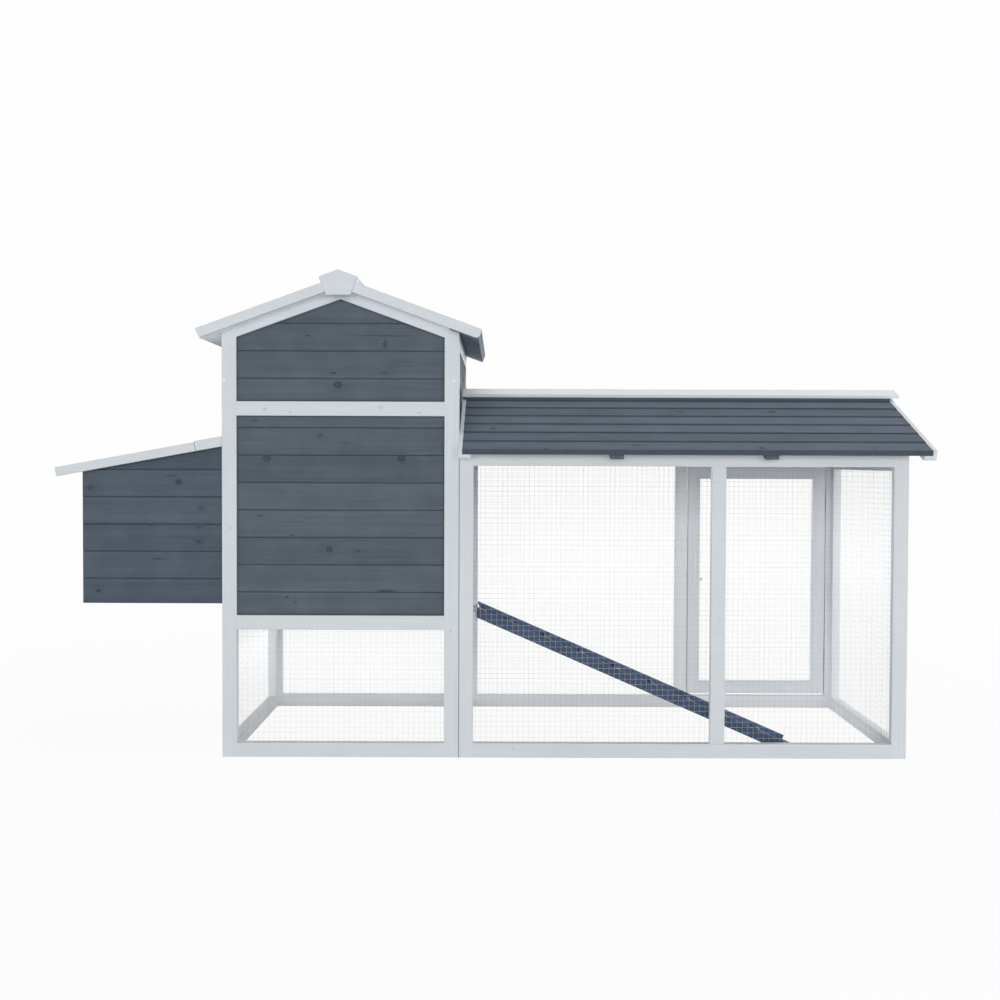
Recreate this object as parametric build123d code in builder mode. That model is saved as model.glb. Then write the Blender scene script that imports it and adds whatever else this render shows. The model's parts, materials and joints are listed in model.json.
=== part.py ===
# Chicken coop with a run, in millimetres. x runs along its length, y goes from the front to the far side,
# z goes up, and the origin is on the ground under the middle of the whole outline.
import os
from math import cos, radians, sin, tan

from build123d import *

os.makedirs("parts", exist_ok=True)

# Timber stock.
face = 34.0  # wide side of a frame timber
depth = 22.0  # narrow side of a frame timber
ease = 1.0  # taken off a timber's long edges
board = 10.0  # wall board thickness
cover = 64.5  # height one wall board covers
groove = 2.0  # half of the V between two boards
recess = 5.0  # wall boards lie this far behind a frame's outer face

# House.
house_width = 556.0
house_depth = 690.0
floor_height = 335.0
middle_height = 838.0
eave_height = 999.0
front_first_joint = 389.5
gable_first_joint = 891.7
side_first_joint = 404.0
floor_panel = 12.0
side_rail_drop = 38.0  # height of the side rails under the eaves

# House roof.
roof_pitch = 20.0
roof_board = 10.0
roof_batten = 13.0
house_eave = 53.6  # eave past the side wall, level
gable_overhang = 28.0  # roof past the gable, without its barge board
barge = 12.0
barge_round = 8.0
ridge_board = 35.0
ridge_gauge = 13.0
plate_gauge = 10.0
plate_shoulder = 43.0
plate_foot = 28.0

# Nest box.
nest_reach = 334.0
nest_height = 360.0  # underside of the nest box
nest_floor = 12.0
nest_inset = 23.0  # nest walls behind the house faces
nest_first_joint = 419.0
lid_pitch = 10.4
lid_height = 753.4  # top of the lid's line at the house wall
lid_edge = 21.0
lid_board = 10.0
lid_trim = 12.0
lid_overhang = 59.0
strip_width = 66.0
strip_rise = 2.4
lip_height = 95.0
divider = 12.0
wall_play = 0.3

# Run.
run_length = 1056.0
left_bay = 560.0
run_height = 717.0  # top of the front rail at its outer face
rail_under = 688.0
end_drop = 4.0  # top of the end frame under the run's height
run_door_sill = 7.0  # gap under the run door
run_door_head = 3.0  # gap over the run door
door_gap = 3.0

# Run roof.
run_eave = 50.0
run_batten = 15.0
slat = 12.0
slat_thin = 9.5
slat_cover = 63.85
slat_courses = 6
ridge_slat = 19.0
run_cap_board = 39.0
run_cap_gauge = 7.5
run_cap_overhang = 62.0
slats_from_wall = 9.0
slats_past_end = 40.3
verge_width = 28.0
verge_show = 10.0
verge_rise = 11.0  # verge board beside the slats, above their underside
verge_set_back = 4.0
verge_round = 9.0
batten_width = 32.0
batten_set_back = 12.0
batten_thirds = (368.0, 728.0)  # batten middles from the house wall

# Wire nets, drawn with every seventh wire of a half-inch mesh.
net_pitch = 88.9
wire = 1.2
net_lap = 10.0

# Doors, tray, perch, pop hole and ramp.
tray_slot = 50.0
tray_height = 30.0
tray_gauge = 2.0
tray_gap = 2.0
knob_radius = 9.0
knob_length = 18.0
perch_height = 500.0
perch_side = 28.0
cleat_height = 30.0
cleat_depth = 18.0
hole_width = 176.0
hole_courses = 4
pop_gauge = 8.0
pop_lap = 9.5
pop_slide_length = 190.0
pop_play = 0.6
runner = 14.0
runner_lip = 10.0
ramp_pitch = 23.53
ramp_width = 150.0
ramp_from_front = 40.0
ramp_standoff = 42.0
ramp_board = 12.0
ramp_rail = 10.3
ramp_toe = 1.0  # thickness left at the board's foot
rail_set_back = 23.0  # side rails end this far before the board's foot
rung = 14.0
rung_rise = 5.0
rung_spacing = 95.0
rung_start = 80.0  # first rung from the board's head
rung_stop = 30.0  # no rung nearer than this to the board's foot
ledger_rise = 5.0  # top of the ramp's ledger above the house floor

# Hinges and bolts.
knuckle = 4.0
pin = 1.8
pin_play = 0.06
leaf = 2.0
hinge_height = 50.0
hinge_gap = 0.4
hinge_clear = 0.5
door_leaf = 28.0
lid_leaf = 40.0
ramp_leaf = 25.0
bolt = 3.5
bolt_play = 0.3
bolt_travel = 14.0
bolt_plate = 34.0
bolt_guide = 6.0

# Places that follow from the sizes.
span = lid_overhang + nest_reach + house_width + run_length + run_cap_overhang
left_tip = -span / 2
house_left = left_tip + lid_overhang + nest_reach
house_right = house_left + house_width
house_mid = (house_left + house_right) / 2
run_left = house_right
run_right = run_left + run_length
front = -house_depth / 2
back = house_depth / 2
c20 = cos(radians(roof_pitch))
s20 = sin(radians(roof_pitch))
t20 = tan(radians(roof_pitch))
roof_thick = roof_board + roof_batten
soffit_ridge = eave_height + house_width / 2 * t20
eave_length = (house_width / 2 + house_eave - roof_thick * s20) / c20
post_in_left = house_left + face
post_in_right = house_right - face
mid_post = run_left + face + left_bay
end_height = run_height - end_drop
stile_front = front + depth + face
stile_back = back - depth - face


def soffit(x):
    """Height of the house roof's underside at x."""
    return soffit_ridge - abs(x - house_mid) * t20


def house_slope(u, v):
    """A point of the right roof slope: u down from the ridge, v up from the underside."""
    return (house_mid + u * c20 + v * s20, soffit_ridge - u * s20 + v * c20)


def run_slope(u, v):
    """A point of the run's front slope: u up from the eave, v up from the slats' underside."""
    y = front - run_eave + u * c20 - v * s20
    z = run_height - run_eave * t20 + run_batten / c20 + u * s20 + v * c20
    return (y, z)


def run_ridge(v):
    """The point of the run's front slope that lies on the ridge, v above the slats' underside."""
    return run_slope((run_eave - front + v * s20) / c20, v)


def lid_slope(u, v):
    """A point of the nest lid: u down from the house wall, v up from the lid's top."""
    turn = radians(lid_pitch)
    x = house_left - u * cos(turn) - v * sin(turn)
    return (x, lid_height - u * sin(turn) + v * cos(turn))


def lid_wall(v):
    """The point of the nest lid's line, v above the lid's top, that lies just off the house wall."""
    turn = radians(lid_pitch)
    return lid_slope((wall_play - v * sin(turn)) / cos(turn), v)


def flipped(corners, about):
    """The same outline on the other side of a middle line."""
    return [(2 * about - a, b) for a, b in corners]


def timber(x, y, z):
    """A squared timber that fills three spans, its long edges eased."""
    size = (x[1] - x[0], y[1] - y[0], z[1] - z[0])
    along = (Axis.X, Axis.Y, Axis.Z)[size.index(max(size))]
    with BuildPart() as piece:
        with Locations((sum(x) / 2, sum(y) / 2, sum(z) / 2)):
            Box(*size)
        chamfer(piece.edges().filter_by(along), ease)
    return piece.part


def depthwise(corners, y):
    """An outline drawn in x and z that fills a span of y."""
    with BuildPart() as piece:
        with BuildSketch(Plane.XZ.offset(-y[0])):
            with BuildLine():
                Polyline(*corners, close=True)
            make_face()
        extrude(amount=y[0] - y[1])
    return piece.part


def lengthwise(corners, x):
    """An outline drawn in y and z that fills a span of x."""
    with BuildPart() as piece:
        with BuildSketch(Plane.YZ.offset(x[0])):
            with BuildLine():
                Polyline(*corners, close=True)
            make_face()
        extrude(amount=x[1] - x[0])
    return piece.part


def shared(piece, limit):
    """The part of a piece that lies inside a limit."""
    with BuildPart() as cut:
        add(piece)
        add(limit, mode=Mode.INTERSECT)
    return cut.part


def courses(bottom, top, joint):
    """Spans of the boards between two heights, with joints one board apart from a first one."""
    heights = [bottom]
    while joint < top - groove * 3:
        if joint > bottom + groove * 3:
            heights.append(joint)
        joint += cover
    heights.append(top)
    return list(zip(heights, heights[1:]))


def board_end(inner, outer, z):
    """End outline of a wall board whose outer corners are taken off for the V joints."""
    inward = groove if inner > outer else -groove
    return [
        (inner, z[0]),
        (inner, z[1]),
        (outer + inward, z[1]),
        (outer, z[1] - groove),
        (outer, z[0] + groove),
        (outer + inward, z[0]),
    ]


def net(plane, u, v, amount):
    """A flat wire net over two spans of a plane, one face with holes made into a thin solid."""
    width = u[1] - u[0]
    height = v[1] - v[0]
    columns = max(1, round(width / net_pitch))
    rows = max(1, round(height / net_pitch))
    step_u = (width - wire) / columns
    step_v = (height - wire) / rows
    with BuildPart() as piece:
        with BuildSketch(plane):
            with Locations((sum(u) / 2, sum(v) / 2)):
                Rectangle(width, height)
                with GridLocations(step_u, step_v, columns, rows):
                    Rectangle(step_u - wire, step_v - wire, mode=Mode.SUBTRACT)
        extrude(amount=amount)
    return piece.part


def hinge_leaf(place, reach, seat, spans):
    """A hinge leaf: place has the pin as its z, the flap along its x and the way out of the seat as its y."""
    near = knuckle + hinge_clear
    with BuildPart() as piece:
        with BuildSketch(place):
            with Locations(((near + reach) / 2, leaf / 2 - seat)):
                Rectangle(reach - near, leaf)
        extrude(amount=hinge_height / 2, both=True)
        for low, high in spans:
            with BuildSketch(place.offset(low)):
                Circle(knuckle)
                with Locations((near / 2, leaf / 2 - seat)):
                    Rectangle(near, leaf)
            extrude(amount=high - low)
    return piece.part


def fixed_leaf(place, reach, seat):
    """The leaf that stays, with the two outer knuckles and the pin staked in them."""
    inner = hinge_height / 6 + hinge_gap
    spans = ((-hinge_height / 2, -inner), (inner, hinge_height / 2))
    with BuildPart() as piece:
        add(hinge_leaf(place, reach, seat, spans))
        with BuildSketch(place):
            Circle(pin)
        extrude(amount=hinge_height / 3, both=True)
    return piece.part


def moving_leaf(place, reach, seat):
    """The leaf that swings, with the middle knuckle bored for the pin."""
    with BuildPart() as piece:
        add(hinge_leaf(place, reach, seat, ((-hinge_height / 6, hinge_height / 6),)))
        with BuildSketch(place):
            Circle(pin + pin_play)
        extrude(amount=hinge_height, both=True, mode=Mode.SUBTRACT)
    return piece.part


def write(name, pieces):
    """Writes one node whose pieces stay separate solids."""
    export_step(Compound(label=name, children=pieces), f"parts/{name}.step")


# House front and rear frames: posts to the roof, rails between them, rafters under the roof slopes.
# The rear one has one rail more, over the slot of the dropping tray.
def gable_frame(y, rails):
    post = [(house_left, 0), (post_in_left, 0), (post_in_left, soffit(post_in_left)), (house_left, soffit(house_left))]
    drop = depth / c20
    rafter = [
        (post_in_left, soffit(post_in_left) - drop),
        (house_mid, soffit_ridge - drop),
        (house_mid, soffit_ridge),
        (post_in_left, soffit(post_in_left)),
    ]
    pieces = [depthwise(outline, y) for outline in (post, flipped(post, house_mid))]
    pieces += [depthwise(outline, y) for outline in (rafter, flipped(rafter, house_mid))]
    pieces += [timber((post_in_left, post_in_right), y, (top - face, top)) for top in rails]
    return pieces


tray_rail_top = floor_height + tray_slot + face
write("house_front_frame", gable_frame((front, front + depth), (face, floor_height, middle_height)))
write("house_rear_frame", gable_frame((back - depth, back), (face, floor_height, tray_rail_top, middle_height)))


# House side frames: stiles behind the posts, base rail, floor rail and a rail bevelled to the roof.
# The left one also has the nest opening's head rail and its middle stile.
def side_frame(x):
    upright = [(x[0], 0), (x[1], 0), (x[1], soffit(x[1])), (x[0], soffit(x[0]))]
    under = eave_height - side_rail_drop
    top_rail = [(x[0], under), (x[1], under), (x[1], soffit(x[1])), (x[0], soffit(x[0]))]
    between = (stile_front, stile_back)
    return [
        depthwise(upright, (front + depth, stile_front)),
        depthwise(upright, (stile_back, back - depth)),
        depthwise(top_rail, between),
        timber(x, between, (0, face)),
        timber(x, between, (floor_height - face, floor_height)),
    ]


left_span = (house_left, house_left + depth)
right_span = (house_right - depth, house_right)
head_under = lid_height + strip_rise + 2.0
head_rail = timber(left_span, (stile_front, stile_back), (head_under, head_under + face))
mullion = timber(left_span, (-face / 2, face / 2), (floor_height, head_under))
write("house_left_frame", side_frame(left_span) + [head_rail, mullion])
write("house_right_frame", side_frame(right_span))


# House boards: a lower panel and a gable panel at the front, a gable panel at the rear, the left wall over
# and under the nest opening, and the right wall around the pop hole.
def gable_boards(outer, inner):
    drop = depth / c20
    limit = [
        (post_in_left, middle_height),
        (post_in_right, middle_height),
        (post_in_right, soffit(post_in_right) - drop),
        (house_mid, soffit_ridge - drop),
        (post_in_left, soffit(post_in_left) - drop),
    ]
    whole = depthwise(limit, (min(outer, inner), max(outer, inner)))
    spans = courses(middle_height, soffit_ridge - drop, gable_first_joint)
    across = (post_in_left, post_in_right)
    return [shared(lengthwise(board_end(inner, outer, z), across), whole) for z in spans]


front_boards = gable_boards(front + recess, front + recess + board)
for z in courses(floor_height, middle_height - face, front_first_joint):
    outline = board_end(front + recess + board, front + recess, z)
    front_boards.append(lengthwise(outline, (post_in_left, post_in_right)))
write("house_front_boards", front_boards)
write("house_rear_boards", gable_boards(back - recess, back - recess - board))

left_outer = house_left + recess
left_boards = []
for z in courses(head_under + face, eave_height - side_rail_drop, side_first_joint):
    left_boards.append(depthwise(board_end(left_outer + board, left_outer, z), (stile_front, stile_back)))
for z in courses(floor_height, floor_height + lip_height, side_first_joint):
    outline = board_end(left_outer + board, left_outer, z)
    left_boards.append(depthwise(outline, (stile_front, -face / 2)))
    left_boards.append(depthwise(outline, (face / 2, stile_back)))
write("house_left_boards", left_boards)

right_outer = house_right - recess
hole_top = side_first_joint + (hole_courses - 1) * cover
hole_back = stile_front + hole_width
right_boards = []
for z in courses(floor_height, eave_height - side_rail_drop, side_first_joint):
    start = hole_back if z[0] < hole_top - groove else stile_front
    right_boards.append(depthwise(board_end(right_outer - board, right_outer, z), (start, stile_back)))
write("house_right_boards", right_boards)


# Nets of the open space under the house floor, on the inner faces of three frames.
low_z = (face - net_lap, floor_height - face + net_lap)
low_x = (post_in_left - net_lap, post_in_right + net_lap)
low_y = (stile_front - net_lap, stile_back + net_lap)
write("house_front_mesh", [net(Plane.XZ.offset(-front - depth), low_x, low_z, -wire)])
write("house_rear_mesh", [net(Plane.XZ.offset(-back + depth), low_x, low_z, wire)])
write("house_left_mesh", [net(Plane.YZ.offset(house_left + depth), low_y, low_z, wire)])


# House floor on two bearers, and the perch on its cleats between the nest's middle stile and the right wall.
inside_x = (house_left + depth, house_right - depth)
floor_under = floor_height - floor_panel
with BuildPart() as house_floor:
    with Locations((house_mid, 0, floor_height - floor_panel / 2)):
        Box(house_width - 2 * depth, house_depth - 2 * depth, floor_panel)
bearer_y = (front + depth + 2.0, front + 2 * depth)
bearer_z = (floor_height - face, floor_under)
bearers = [timber(inside_x, bearer_y, bearer_z), timber(inside_x, (-bearer_y[1], -bearer_y[0]), bearer_z)]
write("house_floor", [house_floor.part] + bearers)

perch_x = (house_left + depth, house_right - recess - board)
with BuildPart() as perch:
    with Locations((sum(perch_x) / 2, 0, perch_height + perch_side / 2)):
        Box(perch_x[1] - perch_x[0], perch_side, perch_side)
    fillet(perch.faces().sort_by(Axis.Z)[-1].edges().filter_by(Axis.X), perch_side / 4)
perch.part.label = "perch"
export_step(perch.part, "parts/perch.step")
cleat_z = (perch_height - cleat_height, perch_height)
cleat_spans = ((perch_x[0], perch_x[0] + cleat_depth), (perch_x[1] - cleat_depth, perch_x[1]))
write("perch_cleats", [timber(x, (-face / 2, face / 2), cleat_z) for x in cleat_spans])


# House roof: on each slope boards along the ridge on flat battens, with barge boards over the gable ends,
# a two-board ridge cap and a five-sided plate over each end of the ridge.
def slope_strip(u, v):
    """Outline of a strip of the right slope; one that starts at the ridge is cut plumb there."""
    if u[0] <= 0:
        return [house_slope(-v[0] * t20, v[0]), house_slope(u[1], v[0]), house_slope(u[1], v[1]), house_slope(-v[1] * t20, v[1])]
    return [house_slope(u[0], v[0]), house_slope(u[1], v[0]), house_slope(u[1], v[1]), house_slope(u[0], v[1])]


def roof_course(u, v):
    """Outline of a roof board with the upper edge of its lower side taken off."""
    outline = slope_strip(u, v)
    lower = [house_slope(u[1], v[1] - groove), house_slope(u[1] - groove, v[1])]
    return outline[:2] + lower + outline[3:]


slab_y = (front - gable_overhang, back + gable_overhang)
board_count = round(eave_length / cover)
board_step = eave_length / board_count
board_v = (roof_batten, roof_thick)
batten_v = (0, roof_batten)
eave_from = (house_width / 2 - depth) / c20
right_courses = [roof_course((i * board_step, (i + 1) * board_step), board_v) for i in range(board_count)]
eave_batten = slope_strip((eave_from, eave_length), batten_v)
right_battens = [
    (slope_strip((0, face), batten_v), slab_y),
    (slope_strip((face, eave_from), batten_v), (slab_y[0], front + depth)),
    (slope_strip((face, eave_from), batten_v), (-face / 2, face / 2)),
    (slope_strip((face, eave_from), batten_v), (back - depth, slab_y[1])),
]
write("house_roof_boards_right", [depthwise(outline, slab_y) for outline in right_courses])
write("house_roof_boards_left", [depthwise(flipped(outline, house_mid), slab_y) for outline in right_courses])
write("house_roof_battens_right", [depthwise(outline, y) for outline, y in right_battens])
write("house_eave_batten_right", [depthwise(eave_batten, slab_y)])
left_battens = right_battens + [(eave_batten, slab_y)]
write("house_roof_battens_left", [depthwise(flipped(outline, house_mid), y) for outline, y in left_battens])


def barge_board(outline, y):
    """A barge board with its lower corner rounded."""
    with BuildPart() as piece:
        add(depthwise(outline, y))
        fillet(piece.edges().filter_by(Axis.Y).sort_by(Axis.Z)[0], barge_round)
    return piece.part


barge_line = slope_strip((0, eave_length), (0, roof_thick))
barge_front = (slab_y[0] - barge, slab_y[0])
barge_back = (slab_y[1], slab_y[1] + barge)
barge_boards = []
for y in (barge_front, barge_back):
    barge_boards += [barge_board(barge_line, y), barge_board(flipped(barge_line, house_mid), y)]
write("house_barge_boards", barge_boards)

cap_line = slope_strip((0, ridge_board), (roof_thick, roof_thick + ridge_gauge))
cap_y = (barge_front[0], barge_back[1])
write("house_ridge_cap", [depthwise(cap_line, cap_y), depthwise(flipped(cap_line, house_mid), cap_y)])

plate_top = soffit_ridge + (roof_thick + ridge_gauge) / c20 + 0.5
plate_low = soffit_ridge - depth / c20 + 4.0
plate_line = [
    (house_mid, plate_top),
    (house_mid + plate_shoulder, plate_top - plate_shoulder * t20),
    (house_mid + plate_foot, plate_low),
    (house_mid - plate_foot, plate_low),
    (house_mid - plate_shoulder, plate_top - plate_shoulder * t20),
]
plate_spans = ((cap_y[0] - plate_gauge, cap_y[0]), (cap_y[1], cap_y[1] + plate_gauge))
write("house_ridge_plates", [depthwise(plate_line, y) for y in plate_spans])


# Nest box: a floor, board walls and a divider, all under one sloping line.
nest_left = house_left - nest_reach
nest_y = (front + nest_inset, back - nest_inset)
nest_in_y = (nest_y[0] + board, nest_y[1] - board)
lid_seat = -lid_board - wall_play


def under_lid(x):
    """Height of the lid boards' underside at x, less its play."""
    turn = radians(lid_pitch)
    return lid_height - (house_left - x) * tan(turn) + lid_seat / cos(turn)


with BuildPart() as nest_box_floor:
    with Locations(((nest_left + board + house_left) / 2, 0, nest_height + nest_floor / 2)):
        Box(nest_reach - board, nest_in_y[1] - nest_in_y[0], nest_floor)
nest_box_floor.part.label = "nest_box_floor"
export_step(nest_box_floor.part, "parts/nest_box_floor.step")

wall_line = [
    (nest_left, nest_height),
    (house_left, nest_height),
    (house_left, under_lid(house_left)),
    (nest_left, under_lid(nest_left)),
]
nest_walls = []
for outer, inner in ((nest_y[0], nest_in_y[0]), (nest_y[1], nest_in_y[1])):
    whole = depthwise(wall_line, (min(outer, inner), max(outer, inner)))
    for z in courses(nest_height, under_lid(house_left), nest_first_joint):
        nest_walls.append(shared(lengthwise(board_end(inner, outer, z), (nest_left, house_left)), whole))
for z in courses(nest_height, under_lid(nest_left), nest_first_joint):
    nest_walls.append(depthwise(board_end(nest_left + board, nest_left, z), nest_in_y))
divider_line = [
    (nest_left + board, nest_height + nest_floor),
    (house_left, nest_height + nest_floor),
    (house_left, under_lid(house_left)),
    (nest_left + board, under_lid(nest_left + board)),
]
nest_walls.append(depthwise(divider_line, (-divider / 2, divider / 2)))
write("nest_box_walls", nest_walls)


# Nest roof: a fixed strip by the house wall and the lid hinged on its edge, both with trim at the ends.
def lid_strip(u, v):
    return [lid_slope(u[0], v[0]), lid_slope(u[1], v[0]), lid_slope(u[1], v[1]), lid_slope(u[0], v[1])]


trim_y = ((front, front + lid_trim), (back - lid_trim, back))
lid_y = (front + lid_trim, back - lid_trim)
lid_turn = radians(lid_pitch)
lid_length = (nest_reach + lid_overhang) / cos(lid_turn)
def wall_strip(u, v):
    """Outline of a strip from the house wall, cut plumb there."""
    return [lid_wall(v[0]), lid_slope(u, v[0]), lid_slope(u, v[1]), lid_wall(v[1])]


strip_board = wall_strip(strip_width - knuckle - hinge_clear, (-lid_board, strip_rise))
strip_pieces = [depthwise(strip_board, lid_y)]
strip_pieces += [depthwise(wall_strip(strip_width, (-lid_edge, strip_rise)), y) for y in trim_y]
write("nest_roof_strip", strip_pieces)

lid_from = strip_width + 2 * hinge_clear
lid_boards_to = lid_length - lid_trim
lid_count = round((lid_boards_to - lid_from) / cover)
lid_step = (lid_boards_to - lid_from) / lid_count
lid_pieces = []
for i in range(lid_count):
    near = lid_from + i * lid_step
    far = near + lid_step
    outline = [
        lid_slope(near, -lid_board),
        lid_slope(far, -lid_board),
        lid_slope(far, -groove),
        lid_slope(far - groove, 0),
        lid_slope(near, 0),
    ]
    lid_pieces.append(depthwise(outline, lid_y))
cleat_u = (lid_from + face, lid_length - lid_overhang - face)
cleat_mid = nest_in_y[1] / 2
for y in (-cleat_mid, cleat_mid):
    lid_pieces.append(depthwise(lid_strip(cleat_u, (-lid_edge, -lid_board)), (y - face / 2, y + face / 2)))
write("nest_lid_boards", lid_pieces)
trim_pieces = [depthwise(lid_strip((lid_from, lid_length), (-lid_edge, 0)), y) for y in trim_y]
trim_pieces.append(depthwise(lid_strip((lid_boards_to, lid_length), (-lid_board, 0)), lid_y))
write("nest_lid_trim", trim_pieces)

lid_axis = lid_slope(strip_width + hinge_clear, knuckle)
lid_down = (-cos(lid_turn), 0, -sin(lid_turn))
lid_up = (cos(lid_turn), 0, sin(lid_turn))
plates = []
lid_leaves = []
for y in (-house_depth / 4, house_depth / 4):
    origin = (lid_axis[0], y, lid_axis[1])
    plates.append(fixed_leaf(Plane(origin, lid_up, (0, -1, 0)), lid_leaf, knuckle - strip_rise))
    lid_leaves.append(moving_leaf(Plane(origin, lid_down, (0, 1, 0)), lid_leaf, knuckle))
write("nest_lid_hinge_leaves", lid_leaves)


# House door at the rear: a frame with boards in it, hung on the left post.
def door_frame(x, z):
    y = (back - depth, back)
    return [
        timber((x[0], x[0] + face), y, z),
        timber((x[1] - face, x[1]), y, z),
        timber((x[0] + face, x[1] - face), y, (z[0], z[0] + face)),
        timber((x[0] + face, x[1] - face), y, (z[1] - face, z[1])),
    ]


house_door_x = (post_in_left + door_gap, post_in_right - door_gap)
house_door_z = (tray_rail_top + door_gap, middle_height - face - door_gap)
write("house_door_frame", door_frame(house_door_x, house_door_z))
panel_x = (house_door_x[0] + face, house_door_x[1] - face)
panel_z = (house_door_z[0] + face, house_door_z[1] - face)
door_boards = []
for z in courses(panel_z[0], panel_z[1], front_first_joint):
    door_boards.append(lengthwise(board_end(back - recess - board, back - recess, z), panel_x))
write("house_door_boards", door_boards)


def door_hinges(x, heights, way):
    """Hinges on the far face at x; way is the side the post is on."""
    leaves = []
    for z in heights:
        origin = (x, back + knuckle, z)
        plates.append(fixed_leaf(Plane(origin, (way, 0, 0), (0, 0, way)), door_leaf, knuckle))
        leaves.append(moving_leaf(Plane(origin, (-way, 0, 0), (0, 0, -way)), door_leaf, knuckle))
    return leaves


house_hinge_z = (house_door_z[0] + 2 * face, house_door_z[1] - 2 * face)
write("house_door_hinge_leaves", door_hinges(post_in_left + door_gap / 2, house_hinge_z, -1))

bolt_y = back + leaf + bolt + 3.5
block_y = (back + leaf, bolt_y + bolt + 2.5)
block_size = 2 * bolt + 7.0


def bolt_base(x, z):
    """A bolt's plate with two guides on a door's stile."""
    offset = (bolt_plate - bolt_guide) / 2
    with BuildPart() as piece:
        with Locations((x, back + leaf / 2, z)):
            Box(bolt_plate, leaf, face - 4.0)
        with Locations((x - offset, sum(block_y) / 2, z), (x + offset, sum(block_y) / 2, z)):
            Box(bolt_guide, block_y[1] - block_y[0], block_size)
        with BuildSketch(Plane.YZ.offset(x)):
            with Locations((bolt_y, z)):
                Circle(bolt + bolt_play)
        extrude(amount=bolt_plate, both=True, mode=Mode.SUBTRACT)
    return piece.part


def bolt_rod(x, z, way):
    """A bolt drawn back: a round rod with a knob between the guides."""
    tip = x + way * (bolt_plate / 2 - 1.0)
    tail = x - way * (bolt_plate / 2 + bolt_travel - 2.0)
    with BuildPart() as piece:
        with BuildSketch(Plane.YZ.offset(min(tip, tail))):
            with Locations((bolt_y, z)):
                Circle(bolt)
        extrude(amount=abs(tip - tail))
        with BuildSketch(Plane.XZ.offset(-bolt_y)):
            with Locations((x - way * bolt_travel / 2, z)):
                Circle(bolt - 0.5)
        extrude(amount=-(bolt + 12.0))
    return piece.part


def bolt_keeper(x, z):
    """A keeper's plate and block on a post."""
    with BuildPart() as piece:
        with Locations((x, back + leaf / 2, z)):
            Box(2 * bolt_guide, leaf, face - 4.0)
        with Locations((x, sum(block_y) / 2, z)):
            Box(bolt_guide, block_y[1] - block_y[0], block_size)
        with BuildSketch(Plane.YZ.offset(x)):
            with Locations((bolt_y, z)):
                Circle(bolt + 2 * bolt_play)
        extrude(amount=bolt_plate, both=True, mode=Mode.SUBTRACT)
    return piece.part


house_bolt_x = house_door_x[1] - face / 2
house_bolt_z = sum(house_door_z) / 2
write("house_door_bolt_plate", [bolt_base(house_bolt_x, house_bolt_z)])
write("house_door_bolt", [bolt_rod(house_bolt_x, house_bolt_z, 1)])
keepers = [bolt_keeper(post_in_right + bolt_guide + 1.0, house_bolt_z)]


# Dropping tray on the house floor: a shallow plastic pan behind a wooden front with a knob.
tray_x = (post_in_left + 2 * tray_gap, post_in_right - 2 * tray_gap)
tray_y = (front + depth + 8.0, back - depth)
tray_low = floor_height + 0.4
with BuildPart() as pan:
    with Locations((sum(tray_x) / 2, sum(tray_y) / 2, tray_low + tray_height / 2)):
        Box(tray_x[1] - tray_x[0], tray_y[1] - tray_y[0], tray_height)
    offset(amount=-tray_gauge, openings=pan.faces().sort_by(Axis.Z)[-1], kind=Kind.INTERSECTION)
write("dropping_tray", [pan.part])


def knob(plane):
    """A turned knob that stands on a plane."""
    with BuildPart() as piece:
        with BuildSketch(plane):
            Circle(knob_radius * 0.6)
        extrude(amount=knob_length * 0.6)
        with BuildSketch(plane.offset(knob_length * 0.4)):
            Circle(knob_radius)
        extrude(amount=knob_length * 0.6)
        chamfer(piece.edges().filter_by(GeomType.CIRCLE).group_by(SortBy.RADIUS)[-1], 2.0)
    return piece.part


tray_front_x = (post_in_left + tray_gap, post_in_right - tray_gap)
tray_front_z = (floor_height + tray_gap, floor_height + tray_slot - tray_gap)
tray_knob = knob(Plane((house_mid, back - tray_gap, sum(tray_front_z) / 2), (-1, 0, 0), (0, 1, 0)))
write("tray_front", [timber(tray_front_x, (back - depth, back - tray_gap), tray_front_z), tray_knob])


# Pop door between house and run: a panel in two runners on the right wall, drawn open.
pop_x = (right_outer + pop_play, right_outer + pop_play + pop_gauge)
pop_shut = (stile_front + 1.0, hole_back + pop_lap)
pop_y = (pop_shut[0] + pop_slide_length, pop_shut[1] + pop_slide_length)
pop_z = (floor_height + 0.3, hole_top + pop_lap)
with BuildPart() as pop_panel:
    with Locations((sum(pop_x) / 2, sum(pop_y) / 2, sum(pop_z) / 2)):
        Box(pop_gauge, pop_y[1] - pop_y[0], pop_z[1] - pop_z[0])
pop_knob = knob(Plane((pop_x[1], sum(pop_y) / 2, sum(pop_z) / 2), (0, 1, 0), (1, 0, 0)))
write("pop_door", [pop_panel.part, pop_knob])

runner_y = (pop_shut[0], pop_y[1] + 8.0)
lip_x = (pop_x[1] + pop_play, house_right + runner)
foot_top = floor_height - 0.5
runners = [
    timber((house_right, house_right + runner), runner_y, (floor_height - face, foot_top)),
    timber(lip_x, runner_y, (foot_top, foot_top + runner_lip)),
    timber((right_outer, lip_x[0]), runner_y, (pop_z[1] + pop_play, pop_z[1] + 2 * runner_lip)),
    timber(lip_x, runner_y, (pop_z[1] - runner_lip, pop_z[1] + 2 * runner_lip)),
]
write("pop_door_runners", runners)


# Ramp: a ledger on the wall, and a board with side rails and rungs that hangs on it and stands on the ground.
turn = radians(ramp_pitch)
ramp_y = (front + ramp_from_front, front + ramp_from_front + ramp_width)
ledger_out = house_right + ramp_standoff
ledger_top = floor_height + ledger_rise
ledger_y = (pop_shut[0], ramp_y[1])
write("ramp_ledger", [timber((house_right + runner, ledger_out), ledger_y, (floor_height - face, ledger_top))])

ramp_axis = (ledger_out + hinge_clear, ledger_top + knuckle)
ramp_along = (cos(turn), 0, -sin(turn))
ramp_out = (sin(turn), 0, cos(turn))


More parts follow.
